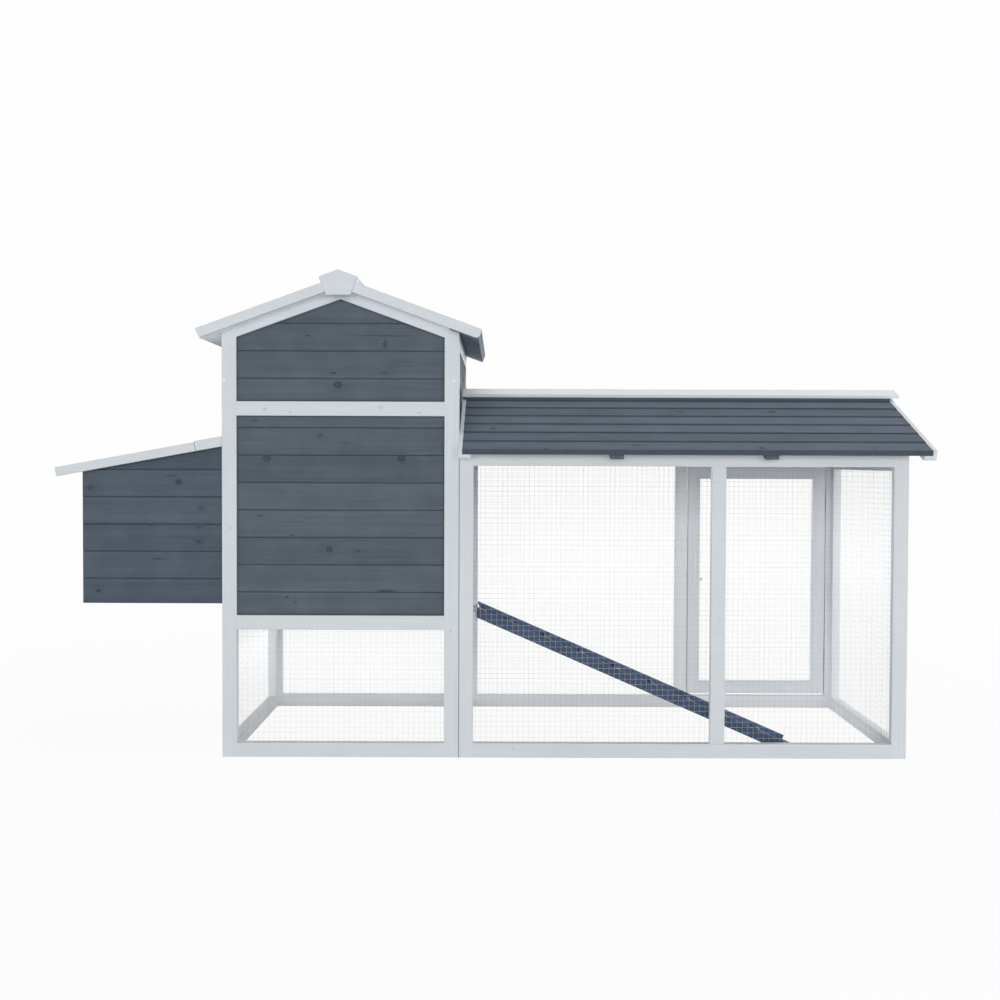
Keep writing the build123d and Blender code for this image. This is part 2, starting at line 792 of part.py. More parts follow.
def ramp_slope(u, v):
    """A point of the ramp: u down from the hinge, v up from the board's top."""
    high = v - knuckle
    return (ramp_axis[0] + u * cos(turn) + high * sin(turn), ramp_axis[1] - u * sin(turn) + high * cos(turn))


def ramp_ground(v):
    """Distance down the ramp at which a line v above the board's top reaches the ground."""
    return (ramp_axis[1] + (v - knuckle) * cos(turn)) / sin(turn)


head = hinge_clear / cos(turn) + knuckle * tan(turn)
under = ramp_ground(-ramp_board)
toe = ramp_slope(ramp_ground(-ramp_toe * cos(turn)), -ramp_toe * cos(turn))[0]
board_line = [
    ramp_slope(head + ramp_board * tan(turn), -ramp_board),
    ramp_slope(under, -ramp_board),
    (toe, 0),
    (toe, ramp_toe),
    ramp_slope(head, 0),
]
write("ramp_board", [depthwise(board_line, ramp_y)])

rail_end = ramp_ground(0) - rail_set_back
rail_line = [
    ramp_slope(head, 0),
    ramp_slope(rail_end, 0),
    ramp_slope(rail_end, ramp_rail),
    ramp_slope(head - ramp_rail * tan(turn), ramp_rail),
]
ramp_pieces = [
    depthwise(rail_line, (ramp_y[0], ramp_y[0] + ramp_rail)),
    depthwise(rail_line, (ramp_y[1] - ramp_rail, ramp_y[1])),
]
rung_at = head + rung_start
while rung_at < under - rung_stop:
    rung_line = [
        ramp_slope(rung_at, 0),
        ramp_slope(rung_at + rung, 0),
        ramp_slope(rung_at + rung, rung_rise),
        ramp_slope(rung_at, rung_rise),
    ]
    ramp_pieces.append(depthwise(rung_line, (ramp_y[0] + ramp_rail, ramp_y[1] - ramp_rail)))
    rung_at += rung_spacing
write("ramp_rails", ramp_pieces)

origin = (ramp_axis[0], sum(ramp_y) / 2, ramp_axis[1])
plates.append(fixed_leaf(Plane(origin, (-1, 0, 0), (0, 1, 0)), ramp_leaf, knuckle))
write("ramp_hinge_leaves", [moving_leaf(Plane(origin, ramp_along, (0, -1, 0)), ramp_leaf, knuckle)])


# Run frames: front and rear with three posts and rails, and the end frame between them.
def long_frame(side):
    def across(y, z):
        return (side * y, z)

    inner = front + depth
    rise = depth * t20
    post = [across(front, 0), across(inner, 0), across(inner, run_height + rise), across(front, run_height)]
    rail = [
        across(front, rail_under),
        across(inner, rail_under),
        across(inner, run_height + rise),
        across(front, run_height),
    ]
    y = (min(side * front, side * inner), max(side * front, side * inner))
    between = (run_left + face, run_right - face)
    return [
        lengthwise(post, (run_left, run_left + face)),
        lengthwise(post, (run_right - face, run_right)),
        lengthwise(rail, between),
        timber(between, y, (0, face)),
        timber((mid_post, mid_post + face), y, (face, rail_under)),
    ]


write("run_front_frame", long_frame(1))
write("run_rear_frame", long_frame(-1))
end_x = (run_right - depth, run_right)
end_frame = [
    timber(end_x, (front + depth, stile_front), (0, end_height)),
    timber(end_x, (stile_back, back - depth), (0, end_height)),
    timber(end_x, (stile_front, stile_back), (0, face)),
    timber(end_x, (stile_front, stile_back), (end_height - face, end_height)),
]
write("run_end_frame", end_frame)

gable_y = (front + depth, back - depth)
gable_shoulder = run_height + run_batten / c20 + depth * t20
gable_line = [
    (gable_y[0], end_height),
    (gable_y[1], end_height),
    (gable_y[1], gable_shoulder),
    (0, run_ridge(0)[1]),
    (gable_y[0], gable_shoulder),
]
gable_x = (run_right - recess - board, run_right - recess)
whole = lengthwise(gable_line, gable_x)
gable_pieces = []
for z in courses(end_height, run_ridge(0)[1], end_height + cover):
    gable_pieces.append(shared(depthwise(board_end(gable_x[0], gable_x[1], z), gable_y), whole))
write("run_gable_boards", gable_pieces)


# Run nets on the inner faces of the frames.
run_z = (face - net_lap, rail_under + net_lap)
run_x = (run_left + face - net_lap, run_right - face + net_lap)
bay_x = (run_left + face - net_lap, mid_post + net_lap)
end_z = (face - net_lap, end_height - face + net_lap)
write("run_front_mesh", [net(Plane.XZ.offset(-front - depth), run_x, run_z, -wire)])
write("run_rear_mesh", [net(Plane.XZ.offset(-back + depth), bay_x, run_z, wire)])
write("run_end_mesh", [net(Plane.YZ.offset(run_right - depth), low_y, end_z, -wire)])


# Run roof: slats in courses that taper upward, on battens, with verge battens at both ends and a ridge cap.
slats_x = (run_left + slats_from_wall, run_right + slats_past_end)
slat_lines = []
for i in range(slat_courses):
    low = i * slat_cover
    high = low + slat_cover
    slat_lines.append([run_slope(low, 0), run_slope(high, 0), run_slope(high, slat_thin), run_slope(low, slat)])
top_course = slat_courses * slat_cover
slat_lines.append([run_slope(top_course, 0), run_ridge(0), run_ridge(ridge_slat), run_slope(top_course, ridge_slat)])
write("run_roof_front_slats", [lengthwise(outline, slats_x) for outline in slat_lines])
write("run_roof_rear_slats", [lengthwise(flipped(outline, 0), slats_x) for outline in slat_lines])


def roof_bar(set_back, x, rise, rounding):
    """A bar from near the eave to the ridge on each slope, its lower corner rounded when asked for."""
    outline = [
        run_slope(set_back, -run_batten),
        run_ridge(-run_batten),
        run_ridge(rise),
        run_slope(set_back, rise),
    ]
    pair = []
    for line in (outline, flipped(outline, 0)):
        with BuildPart() as piece:
            add(lengthwise(line, x))
            if rounding:
                fillet(piece.edges().filter_by(Axis.X).sort_by(Axis.Z)[0], rounding)
        pair.append(piece.part)
    return pair


batten_pieces = []
for middle in batten_thirds:
    x = (run_left + middle - batten_width / 2, run_left + middle + batten_width / 2)
    batten_pieces += roof_bar(batten_set_back, x, 0, 0)
write("run_roof_battens", batten_pieces)
verge_under = verge_width - verge_show
verge_pieces = roof_bar(verge_set_back, (slats_x[0], slats_x[0] + verge_under), 0, verge_round)
verge_pieces += roof_bar(verge_set_back, (slats_x[1] - verge_under, slats_x[1]), 0, verge_round)
verge_pieces += roof_bar(verge_set_back, (run_left, slats_x[0]), verge_rise, verge_round)
verge_pieces += roof_bar(verge_set_back, (slats_x[1], slats_x[1] + verge_show), verge_rise, verge_round)
write("run_verge_battens", verge_pieces)

cap_top = ridge_slat + run_cap_gauge
cap_low = (run_eave - front) / c20 - run_cap_board
run_cap_line = [
    run_slope(cap_low, ridge_slat),
    run_ridge(ridge_slat),
    run_ridge(cap_top),
    run_slope(cap_low, cap_top),
]
cap_x = (run_left, run_right + run_cap_overhang)
write("run_ridge_cap", [lengthwise(run_cap_line, cap_x), lengthwise(flipped(run_cap_line, 0), cap_x)])


# Run door at the rear: a mesh-filled frame hung on the right post, with a bolt toward the middle post.
run_door_x = (mid_post + face + door_gap, run_right - face - door_gap)
run_door_z = (face + run_door_sill, rail_under - run_door_head)
write("run_door_frame", door_frame(run_door_x, run_door_z))
door_net_x = (run_door_x[0] + face - net_lap, run_door_x[1] - face + net_lap)
door_net_z = (run_door_z[0] + face - net_lap, run_door_z[1] - face + net_lap)
write("run_door_mesh", [net(Plane.XZ.offset(-back + depth), door_net_x, door_net_z, wire)])
run_hinge_z = (run_door_z[0] + 3 * face, run_door_z[1] - 3 * face)
write("run_door_hinge_leaves", door_hinges(run_right - face - door_gap / 2, run_hinge_z, 1))
run_bolt_x = run_door_x[0] + face / 2
run_bolt_z = sum(run_door_z) / 2
write("run_door_bolt_plate", [bolt_base(run_bolt_x, run_bolt_z)])
write("run_door_bolt", [bolt_rod(run_bolt_x, run_bolt_z, -1)])
keepers.append(bolt_keeper(mid_post + face - bolt_guide - 1.0, run_bolt_z))

# Fixed hardware of all the hinges and bolts.
write("hinge_plates", plates)
write("bolt_keepers", keepers)
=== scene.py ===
import json
from math import cos, radians, sin

import bpy
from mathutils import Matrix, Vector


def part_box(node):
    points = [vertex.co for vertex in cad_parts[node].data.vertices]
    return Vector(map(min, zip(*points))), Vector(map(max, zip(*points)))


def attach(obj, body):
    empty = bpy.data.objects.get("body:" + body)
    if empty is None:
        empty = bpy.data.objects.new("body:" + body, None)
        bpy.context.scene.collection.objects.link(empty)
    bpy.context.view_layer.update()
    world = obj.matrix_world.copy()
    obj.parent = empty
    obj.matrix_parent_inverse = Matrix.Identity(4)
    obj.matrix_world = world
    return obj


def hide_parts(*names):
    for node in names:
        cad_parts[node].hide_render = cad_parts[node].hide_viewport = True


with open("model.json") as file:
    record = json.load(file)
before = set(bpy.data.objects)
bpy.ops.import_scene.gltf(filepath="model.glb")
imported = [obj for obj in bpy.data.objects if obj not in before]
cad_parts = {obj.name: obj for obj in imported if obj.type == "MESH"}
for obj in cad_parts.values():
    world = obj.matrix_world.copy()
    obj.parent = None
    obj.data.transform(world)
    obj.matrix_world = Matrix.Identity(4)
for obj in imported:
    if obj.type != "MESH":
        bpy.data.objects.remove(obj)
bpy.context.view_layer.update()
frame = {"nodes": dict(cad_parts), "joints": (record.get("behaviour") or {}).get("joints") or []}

# Camera: it stands square to the coop's long side, level with the run's top rail, looks down by less than two
# degrees and is turned a fifth of a degree about its own line of sight.
camera_place = (0.0118, -3.543, 0.6998)
camera_tip = 88.359  # degrees, where 90 looks level
camera_roll = -0.2
bpy.ops.object.select_all(action="DESELECT")
bpy.ops.object.camera_add(location=camera_place, rotation=(radians(camera_tip), radians(camera_roll), 0))
bpy.context.object.data.lens = 49.066
bpy.context.scene.camera = bpy.context.object
bpy.context.scene.view_settings.view_transform = "Standard"


# Studio: a wide matt floor and an even white surround, with a large soft lamp on each side and one overhead,
# the front one the strongest. The camera and the metal see plain white, and the floor keeps a faint shadow.
def paint(code):
    """Linear colour of an sRGB hex value."""
    parts = [int(code[i:i + 2], 16) / 255 for i in (1, 3, 5)]
    return tuple(c / 12.92 if c <= 0.04045 else ((c + 0.055) / 1.055) ** 2.4 for c in parts) + (1.0,)


def fill(tree, node, links):
    """Links a node's sockets to other nodes, or sets their values."""
    for socket, value in links.items():
        if isinstance(value, bpy.types.NodeSocket):
            tree.links.new(value, node.inputs[socket])
        else:
            node.inputs[socket].default_value = value


def put(tree, kind, links, **settings):
    """Adds a node with its settings, and links or fills its sockets."""
    node = tree.nodes.new("ShaderNode" + kind)
    for name, value in settings.items():
        setattr(node, name, value)
    fill(tree, node, links)
    return node


def seen_directly(tree):
    """One for what the camera, a mirror or glass sees, and nothing for the light that falls on the coop."""
    path = put(tree, "LightPath", {}).outputs
    both = put(tree, "Math", {0: path["Is Camera Ray"], 1: path["Is Glossy Ray"]}, operation="ADD").outputs[0]
    every = {0: both, 1: path["Is Transmission Ray"]}
    return put(tree, "Math", every, operation="ADD", use_clamp=True).outputs[0]


plain_white = "#fefefe"
surround_light = 0.26
surround = bpy.data.worlds.new("white_surround")
surround.use_nodes = True
tree = surround.node_tree
tree.nodes.clear()
soft = put(tree, "Background", {"Color": paint("#f6f8fa"), "Strength": surround_light})
plain = put(tree, "Background", {"Color": paint(plain_white), "Strength": 1.0})
mixed = put(tree, "MixShader", {0: seen_directly(tree), 1: soft.outputs[0], 2: plain.outputs[0]})
put(tree, "OutputWorld", {"Surface": mixed.outputs[0]})
bpy.context.scene.world = surround

floor_width = 60
fade_from, fade_to = 1.0, 3.5  # metres from the coop's middle over which the floor turns to plain white
white_share = 0.955  # of the floor beside the coop; the rest of it shows the shadow
bpy.ops.mesh.primitive_plane_add(size=floor_width)
floor = bpy.context.object
floor.name = "studio_floor"
material = bpy.data.materials.new("matt_white_floor")
material.use_nodes = True
tree = material.node_tree
tree.nodes.clear()
matt = put(tree, "BsdfDiffuse", {"Color": paint("#f4f5f6")})
white = put(tree, "Emission", {"Color": paint(plain_white), "Strength": 1.0})
place = put(tree, "TexCoord", {}).outputs["Object"]
away = put(tree, "VectorMath", {0: place}, operation="LENGTH").outputs["Value"]
fade = put(tree, "MapRange", {0: away, 1: fade_from, 2: fade_to, 3: white_share, 4: 1.0}).outputs[0]
share = put(tree, "Math", {0: seen_directly(tree), 1: fade}, operation="MULTIPLY").outputs[0]
mixed = put(tree, "MixShader", {0: share, 1: matt.outputs[0], 2: white.outputs[0]})
put(tree, "OutputMaterial", {"Surface": mixed.outputs[0]})
floor.data.materials.append(material)

for name, place, turn, size, power in (
    ("front_lamp", (0.0, -16.0, 2.2), (90, 0, 0), (16.0, 4.8), 1185),
    ("rear_lamp", (0.0, 9.0, 0.8), (-90, 0, 0), (9.0, 1.5), 290),
    ("left_lamp", (-8.0, 0.0, 0.8), (0, -90, 0), (1.5, 6.0), 240),
    ("right_lamp", (8.0, 0.0, 0.8), (0, 90, 0), (1.5, 6.0), 170),
    ("top_lamp", (2.5, 0.0, 6.0), (0, 22.6, 0), (6.0, 6.0), 180),
):
    bpy.ops.object.light_add(type="AREA", location=place, rotation=[radians(angle) for angle in turn])
    lamp = bpy.context.object
    lamp.name = name
    lamp.visible_camera = False
    lamp.data.shape = "RECTANGLE"
    lamp.data.size, lamp.data.size_y = size
    lamp.data.energy = power


# House frames: planed fir posts, rails and rafters, 34 by 22 mm, glued and screwed at the corners.
# Satin white paint shows faint lines of the grain and grey spots where knots bleed through. The rear and left
# frames, which stand in shade, are painted lighter: painted light that makes up for that shade.
GRAIN = {"X": (4, 110, 110), "Y": (110, 4, 110), "Z": (110, 110, 4)}  # lines 9 mm apart that run 250 mm
SMOOTH = {"interpolation_type": "SMOOTHSTEP"}  # eases both ends of a range


def new_finish(name):
    """A material with its node tree, its shader and the place on the piece in metres."""
    material = bpy.data.materials.new(name)
    material.use_nodes = True
    tree = material.node_tree
    place = put(tree, "TexCoord", {}).outputs["Object"]
    return material, tree, tree.nodes["Principled BSDF"], place


def nearest_knot(tree, place, knots, spacing):
    """Distance to the nearest knot, in knot radii.

    Knots are given by x, z and radius in mm and a stretch along x, or else are scattered at a spacing in mm.
    """
    if not knots:
        scattered_radius = 5.0  # mm
        cells = put(tree, "TexVoronoi", {"Vector": place, "Scale": 1000 / spacing}).outputs["Distance"]
        return put(tree, "Math", {0: cells, 1: spacing / scattered_radius}, operation="MULTIPLY").outputs[0]
    wave, swing = 16, 0.005  # outlines wander over 16 mm, by half of 5 mm to each side
    drift = put(tree, "TexNoise", {"Vector": place, "Scale": 1000 / wave}).outputs["Color"]
    drift = put(tree, "VectorMath", {0: drift, 1: (0.5, 0.5, 0.5)}, operation="SUBTRACT").outputs[0]
    wander = {0: drift, 1: (swing, swing, swing), 2: place}
    place = put(tree, "VectorMath", wander, operation="MULTIPLY_ADD").outputs[0]
    nearest = 9.0  # past the reach of any knot
    for x, z, radius, stretch in knots:
        wide = radius * stretch
        middle = (-x / wide, 0, -z / radius)
        scale = (1000 / wide, 0, 1000 / radius)
        moved = put(tree, "Mapping", {"Vector": place, "Location": middle, "Scale": scale}).outputs[0]
        away = put(tree, "VectorMath", {0: moved}, operation="LENGTH").outputs["Value"]
        nearest = put(tree, "Math", {0: away, 1: nearest}, operation="MINIMUM").outputs[0]
    return nearest


def eased_edges(tree, radius):
    """The normal with its corners eased over a radius in mm, and how near a point is to such a corner."""
    eased = put(tree, "Bevel", {"Radius": radius / 1000}, samples=4).outputs[0]
    flat = put(tree, "NewGeometry", {}).outputs["Normal"]
    same = put(tree, "VectorMath", {0: eased, 1: flat}, operation="DOT_PRODUCT").outputs["Value"]
    near = put(tree, "MapRange", {0: same, 1: 0.75, 2: 0.99, 3: 1.0, 4: 0.0}).outputs[0]
    return eased, near


def white_paint(name, lying, posts=None, knots=(), dull="#d6dce0", bright="#e2e6ea", joint=None):
    """Satin white paint on timbers that lie along an axis.

    Posts are an axis, a middle on it and the distance from that past which the timbers stand.
    A painted shadow darkens a joint at an x in mm.
    """
    cloud_size, knot_spacing, edge_radius = 140, 115, 1.5  # mm
    material, tree, shader, place = new_finish(name)
    grain = put(tree, "Mapping", {"Vector": place, "Scale": GRAIN[lying]}).outputs[0]
    if posts:
        axis, middle, reach = posts
        along = put(tree, "SeparateXYZ", {0: place}).outputs[axis]
        off = put(tree, "Math", {0: along, 1: middle}, operation="SUBTRACT").outputs[0]
        off = put(tree, "Math", {0: off}, operation="ABSOLUTE").outputs[0]
        stands = put(tree, "Math", {0: off, 1: reach}, operation="GREATER_THAN").outputs[0]
        upright = put(tree, "Mapping", {"Vector": place, "Scale": GRAIN["Z"]}).outputs[0]
        grain = put(tree, "Mix", {0: stands, 4: grain, 5: upright}, data_type="VECTOR").outputs[1]
    fibre = {"Vector": grain, "Scale": 1.0, "Detail": 4.0, "Roughness": 0.62}
    lines = put(tree, "TexNoise", fibre).outputs[0]
    cloud = put(tree, "TexNoise", {"Vector": place, "Scale": 1000 / cloud_size, "Detail": 3.0}).outputs[0]
    knot = nearest_knot(tree, place, knots, knot_spacing)
    core = put(tree, "MapRange", {0: knot, 1: 0.4, 2: 1.6, 3: 1.0, 4: 0.0}, **SMOOTH).outputs[0]
    eased, corner = eased_edges(tree, edge_radius)
    coat = put(tree, "MapRange", {0: lines, 1: 0.25, 2: 0.75}).outputs[0]
    coat = put(tree, "Mix", {0: coat, 6: paint(dull), 7: paint(bright)}, data_type="RGBA").outputs[2]
    tone = put(tree, "MapRange", {0: cloud, 1: 0.3, 2: 0.7, 3: 0.0, 4: 0.55}).outputs[0]
    coat = put(tree, "Mix", {0: tone, 6: coat, 7: paint(dull)}, data_type="RGBA").outputs[2]
    stain = put(tree, "Math", {0: core, 1: 0.3}, operation="MULTIPLY").outputs[0]
    coat = put(tree, "Mix", {0: stain, 6: coat, 7: paint("#9fa6aa")}, data_type="RGBA").outputs[2]
    worn = put(tree, "Math", {0: corner, 1: lines}, operation="MULTIPLY").outputs[0]
    coat = put(tree, "Mix", {0: worn, 6: coat, 7: paint("#c6ccd1")}, data_type="RGBA").outputs[2]
    # Painted shadow of the gap in the joint between two touching posts.
    if joint is not None:
        thick, gone = (joint + 1.2) / 1000, (joint + 2.2) / 1000
        along = put(tree, "SeparateXYZ", {0: place}).outputs[0]
        painted_shade = put(tree, "MapRange", {0: along, 1: thick, 2: gone, 3: 0.9, 4: 0.0}).outputs[0]
        coat = put(tree, "Mix", {0: painted_shade, 6: coat, 7: paint("#5d6369")}, data_type="RGBA").outputs[2]
    height = put(tree, "Math", {0: core, 1: 0.5, 2: lines}, operation="MULTIPLY_ADD").outputs[0]
    relief = {"Height": height, "Normal": eased, "Strength": 0.25, "Distance": 0.0005}
    relief = put(tree, "Bump", relief).outputs[0]
    sheen = put(tree, "MapRange", {0: lines, 3: 0.5, 4: 0.66}).outputs[0]
    fill(tree, shader, {"Base Color": coat, "Roughness": sheen, "Normal": relief})
    fill(tree, shader, {"IOR": 1.5, "Specular IOR Level": 0.2})
    return material


def standing(node, axis):
    """The axis, middle and distance from it that tell a frame's end posts from its rails."""
    post_width = 0.034
    low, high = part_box(node)
    return axis, (low[axis] + high[axis]) / 2, (high[axis] - low[axis]) / 2 - post_width


def dress(material, *names):
    """Gives CAD nodes a material."""
    for name in names:
        frame["nodes"][name].material_slots[0].material = material


front_rail_knots = [
    (-539, 819, 4.5, 1.2), (-480, 812, 3.0, 1.2), (-268, 824, 4.5, 1.2), (-178, 812, 3.0, 1.6),
    (-622, 540, 3.5, 1.0), (-104, 300, 3.5, 1.0),
]
house_posts, side_stiles = standing("house_front_frame", 0), standing("house_left_frame", 1)
# The rear and left frames' coats are painted lighter than the front's, as painted light for their shade.
rear_white_lightened = {"dull": "#e6ecf1", "bright": "#eff3f7"}
left_white_lightened = {"dull": "#ecf4fb", "bright": "#f3f9fe"}
dress(white_paint("white_paint_house_front", "X", house_posts, front_rail_knots), "house_front_frame")
dress(white_paint("white_paint_house_rear", "X", house_posts, **rear_white_lightened), "house_rear_frame")
dress(white_paint("white_paint_house_left", "Y", side_stiles, **left_white_lightened), "house_left_frame")
dress(white_paint("white_paint_house_right", "Y", side_stiles), "house_right_frame")


# House boards: 10 mm fir boards in V joints, 64.5 mm to the course, under a thin matt dark grey paint.
# The grain, softer bands, and darker knots with a ring show through; each board has its own tone.
BOARD_GRAIN = {"X": (5, 260, 260), "Y": (260, 5, 260)}  # lines 4 mm apart that run 200 mm
board_cover = 0.0645


def board_paint(name, lying, courses, knots=(), dark="#454e57", light="#717b85", laps=None):
    """Matt dark grey paint on boards that lie along an axis; courses are their axis, first joint and height.

    Laps are the share of a course, on both slopes of a roof, at which the painted shadow below the next one
    starts.
    """
    cloud_size, knot_spacing, edge_radius = 70, 150, 1.2  # mm
    material, tree, shader, place = new_finish(name)
    axis, joint, height = courses
    rise = put(tree, "SeparateXYZ", {0: place}).outputs[axis]
    if laps:
        rise = put(tree, "Math", {0: rise}, operation="ABSOLUTE").outputs[0]
    rise = put(tree, "Math", {0: rise, 1: joint}, operation="SUBTRACT").outputs[0]
    rise = put(tree, "Math", {0: rise, 1: height}, operation="DIVIDE").outputs[0]
    board = put(tree, "Math", {0: rise}, operation="FLOOR").outputs[0]
    own = put(tree, "TexWhiteNoise", {"W": board}, noise_dimensions="1D").outputs["Value"]
    knot = nearest_knot(tree, place, knots, knot_spacing)
    core = put(tree, "MapRange", {0: knot, 1: 0.6, 2: 1.3, 3: 1.0, 4: 0.0}, **SMOOTH).outputs[0]
    eye = put(tree, "MapRange", {0: knot, 1: 0.1, 2: 0.7, 3: 1.0, 4: 0.0}, **SMOOTH).outputs[0]
    halo = put(tree, "MapRange", {0: knot, 1: 0.8, 2: 4.0, 3: 1.0, 4: 0.0}, **SMOOTH).outputs[0]
    grain = put(tree, "Mapping", {"Vector": place, "Scale": BOARD_GRAIN[lying]}).outputs[0]
    bent = put(tree, "VectorMath", {0: halo, 1: (0.0, 1.4, 1.4)}, operation="MULTIPLY").outputs[0]
    grain = put(tree, "VectorMath", {0: grain, 1: bent}, operation="ADD").outputs[0]
    fibre = {"Vector": grain, "W": board, "Scale": 1.0, "Detail": 4.0, "Roughness": 0.6}
    lines = put(tree, "TexNoise", fibre, noise_dimensions="4D").outputs[0]
    growth = {"Vector": grain, "W": board, "Scale": 0.16, "Detail": 2.0, "Distortion": 0.4}
    bands = put(tree, "TexNoise", growth, noise_dimensions="4D").outputs[0]
    cloud = put(tree, "TexNoise", {"Vector": place, "Scale": 1000 / cloud_size, "Detail": 4.0}).outputs[0]
    shade = put(tree, "Math", {0: lines, 1: 0.45}, operation="MULTIPLY").outputs[0]
    for pattern, weight in ((bands, 0.35), (cloud, 0.35), (own, 0.12)):
        shade = put(tree, "Math", {0: pattern, 1: weight, 2: shade}, operation="MULTIPLY_ADD").outputs[0]
    shade = put(tree, "MapRange", {0: shade, 1: 0.24, 2: 1.03}).outputs[0]
    coat = put(tree, "Mix", {0: shade, 6: paint(dark), 7: paint(light)}, data_type="RGBA").outputs[2]
    eased, corner = eased_edges(tree, edge_radius)
    worn = put(tree, "Math", {0: corner, 1: 0.3}, operation="MULTIPLY").outputs[0]
    coat = put(tree, "Mix", {0: worn, 6: coat, 7: paint("#79838c")}, data_type="RGBA").outputs[2]
    stain = put(tree, "Math", {0: core, 1: cloud}, operation="MULTIPLY").outputs[0]
    stain = put(tree, "Math", {0: stain, 1: 0.85}, operation="MULTIPLY").outputs[0]
    for pattern, weight in ((eye, -0.15), (halo, 0.08)):
        stain = put(tree, "Math", {0: pattern, 1: weight, 2: stain}, operation="MULTIPLY_ADD").outputs[0]
    crack = {"Vector": grain, "W": board, "Scale": 1.7, "Detail": 2.0}
    check = put(tree, "TexNoise", crack, noise_dimensions="4D").outputs[0]
    check = put(tree, "MapRange", {0: check, 1: 0.66, 2: 0.8, 3: 0.0, 4: 0.32}).outputs[0]
    stain = put(tree, "Math", {0: stain, 1: check}, operation="MAXIMUM").outputs[0]
    # Painted shade darkens the grooves and corners where boards meet frames and rails.
    air = put(tree, "AmbientOcclusion", {"Distance": 0.008}, samples=4).outputs["AO"]
    painted_shade = put(tree, "MapRange", {0: air, 1: 0.5, 2: 0.97, 3: 0.45, 4: 0.0}).outputs[0]
    stain = put(tree, "Math", {0: stain, 1: painted_shade}, operation="MAXIMUM").outputs[0]
    # Painted shadow on each slat under the edge of the next one.
    if laps:
        share = put(tree, "Math", {0: rise}, operation="FRACT").outputs[0]
        painted_lap_shadow = put(tree, "MapRange", {0: share, 1: laps - 0.01, 2: laps, 3: 0.0, 4: 0.42}).outputs[0]
        stain = put(tree, "Math", {0: stain, 1: painted_lap_shadow}, operation="MAXIMUM").outputs[0]
    # Knot stains, checks and the painted shade of corners and laps all darken towards one colour.
    coat = put(tree, "Mix", {0: stain, 6: coat, 7: paint("#20262d")}, data_type="RGBA").outputs[2]
    raised = put(tree, "Math", {0: core, 1: 0.6, 2: lines}, operation="MULTIPLY_ADD").outputs[0]
    relief = {"Height": raised, "Normal": eased, "Strength": 0.3, "Distance": 0.0006}
    relief = put(tree, "Bump", relief).outputs[0]
    sheen = put(tree, "MapRange", {0: lines, 3: 0.68, 4: 0.86}).outputs[0]
    fill(tree, shader, {"Base Color": coat, "Roughness": sheen, "Normal": relief})
    fill(tree, shader, {"IOR": 1.45, "Specular IOR Level": 0.08})
    return material


front_knots = [
    (-536, 703, 8.0, 1.3), (-220, 705, 8.0, 1.3), (-389, 491, 7.5, 1.15), (-369, 877, 8.0, 1.3),
    (-411, 760, 3.5, 1.6), (-564, 793, 2.5, 2.0), (-551, 570, 1.8, 5.0), (-477, 524, 2.2, 2.5),
    (-322, 488, 2.0, 3.5), (-488, 377, 2.4, 1.4), (-470, 366, 2.0, 1.5), (-256, 393, 3.0, 7.0),
    (-351, 741, 1.6, 4.0), (-439, 992, 2.2, 3.0), (-259, 973, 9.0, 0.5), (-262, 992, 1.5, 50.0),
    (-262, 905, 2.2, 3.0), (-380, 905, 2.4, 3.0),
]
front_courses = (2, 0.3895, board_cover)
side_courses = (2, 0.404, board_cover)
dress(board_paint("grey_paint_house_front", "X", front_courses, front_knots), "house_front_boards")
grey_along = board_paint("grey_paint_along", "X", front_courses)
dress(grey_along, "house_rear_boards")
grey_across = board_paint("grey_paint_across", "Y", side_courses)
dress(grey_across, "house_left_boards", "house_right_boards")


# Wire nets under the house: half-inch welded mesh of 0.4 mm galvanised wire, stapled to the frames' inner
# faces. One wire is drawn, nipped at its ends and repeated each way, and the two layers lie on each other,
# sunk together a little by the weld. The zinc is a pale, dull grey.
wire_radius = 0.0002
wire_sides = 6
mesh_pitch = 0.0127


def galvanised(name, dull, bright, spangle):
    """Zinc on steel: grey crystals of a given size in mm that differ in tone and gloss."""
    material, tree, shader, place = new_finish(name)
    crystal = put(tree, "TexVoronoi", {"Vector": place, "Scale": 1000 / spangle}).outputs["Color"]
    crystal = put(tree, "SeparateXYZ", {0: crystal}).outputs[0]
    coat = put(tree, "Mix", {0: crystal, 6: paint(dull), 7: paint(bright)}, data_type="RGBA").outputs[2]
    gloss = put(tree, "MapRange", {0: crystal, 3: 0.34, 4: 0.52}).outputs[0]
    fill(tree, shader, {"Base Color": coat, "Roughness": gloss, "Metallic": 1.0})
    return material


def pick(piece, wanted):
    """Selects the faces of a piece that a test wants, for the next operator in edit mode."""
    bpy.ops.object.mode_set(mode="EDIT")
    bpy.ops.mesh.select_mode(type="FACE")
    bpy.ops.mesh.select_all(action="DESELECT")
    bpy.ops.object.mode_set(mode="OBJECT")
    for polygon in piece.data.polygons:
        polygon.select = wanted(polygon)
    bpy.ops.object.mode_set(mode="EDIT")


def repeat(count, step):
    """Repeats the active piece in a row and makes the row one mesh."""
    bpy.ops.object.modifier_add(type="ARRAY")
    row = bpy.context.object.modifiers[-1]
    row.count = count
    row.use_relative_offset = False
    row.use_constant_offset = True
    row.constant_offset_displace = step
    bpy.ops.object.modifier_apply(modifier=row.name)


def one_mesh(pieces, name):
    """Joins pieces into one with a name."""
    bpy.ops.object.select_all(action="DESELECT")
    for piece in pieces:
        piece.select_set(True)
    bpy.context.view_layer.objects.active = pieces[0]
    bpy.ops.object.join()
    bpy.ops.object.transform_apply(location=True, rotation=True, scale=True)
    bpy.context.object.name = name
    return bpy.context.object


